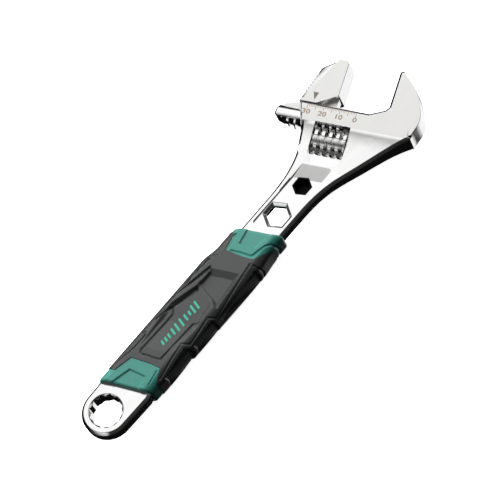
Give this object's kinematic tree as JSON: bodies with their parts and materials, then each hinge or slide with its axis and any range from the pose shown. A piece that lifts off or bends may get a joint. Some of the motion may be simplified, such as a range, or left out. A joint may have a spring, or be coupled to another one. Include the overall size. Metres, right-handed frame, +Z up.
{
  "type": "adjustable wrench",
  "caption": "Adjustable wrench with a sliding jaw driven by a knurled worm, a ring-spanner handle end, a hexagon bit holder and a soft two-material grip.",
  "frame": {"origin": "bottom centre of the whole tool lying flat on its back face, jaw at its resting opening", "axes": "+X along the handle from the ring end to the head, +Y across the handle towards the movable jaw's side, +Z up through the thickness"},
  "size_m": [0.2046, 0.0594, 0.0148],
  "materials": {
    "polished_steel": "satin",
    "plated_steel": "polished",
    "spring_steel": "satin",
    "black_oxide_steel": "matte",
    "bearing_steel": "polished",
    "teal_plastic": "satin",
    "grip_rubber": "matte"
  },
  "bodies": {
    "body": {"wrench_body": "polished_steel", "worm_pin": "plated_steel", "worm_spring": "spring_steel", "bit_socket": "black_oxide_steel", "grip_core": "teal_plastic", "grip_cover": "grip_rubber"},
    "jaw": {"movable_jaw": "polished_steel"},
    "worm": {"knurl": "plated_steel"},
    "detent": {"bit_detent_ball": "bearing_steel", "bit_detent_spring": "spring_steel"}
  },
  "joints": [
    {"name": "jaw_slide", "type": "slide", "parent": "body", "child": "jaw", "axis": [0.4067, -0.9135, 0], "range_m": [-0.007, 0.0229]},
    {"name": "knurl_spin", "type": "hinge", "parent": "body", "child": "worm", "pos_m": [0.05891, -0.00047, 0.0074], "axis": [0.4067, -0.9135, 0], "range_deg": [-2500, 765]},
    {"name": "detent_press", "type": "slide", "parent": "body", "child": "detent", "axis": [-1, 0, 0], "range_m": [0, 0.0007], "stiffness_N_per_m": 800, "springref_m": -0.0005}
  ],
  "couplings": [
    {"joint": "knurl_spin", "follows": "jaw_slide", "rad_per_m": -1904}
  ]
}
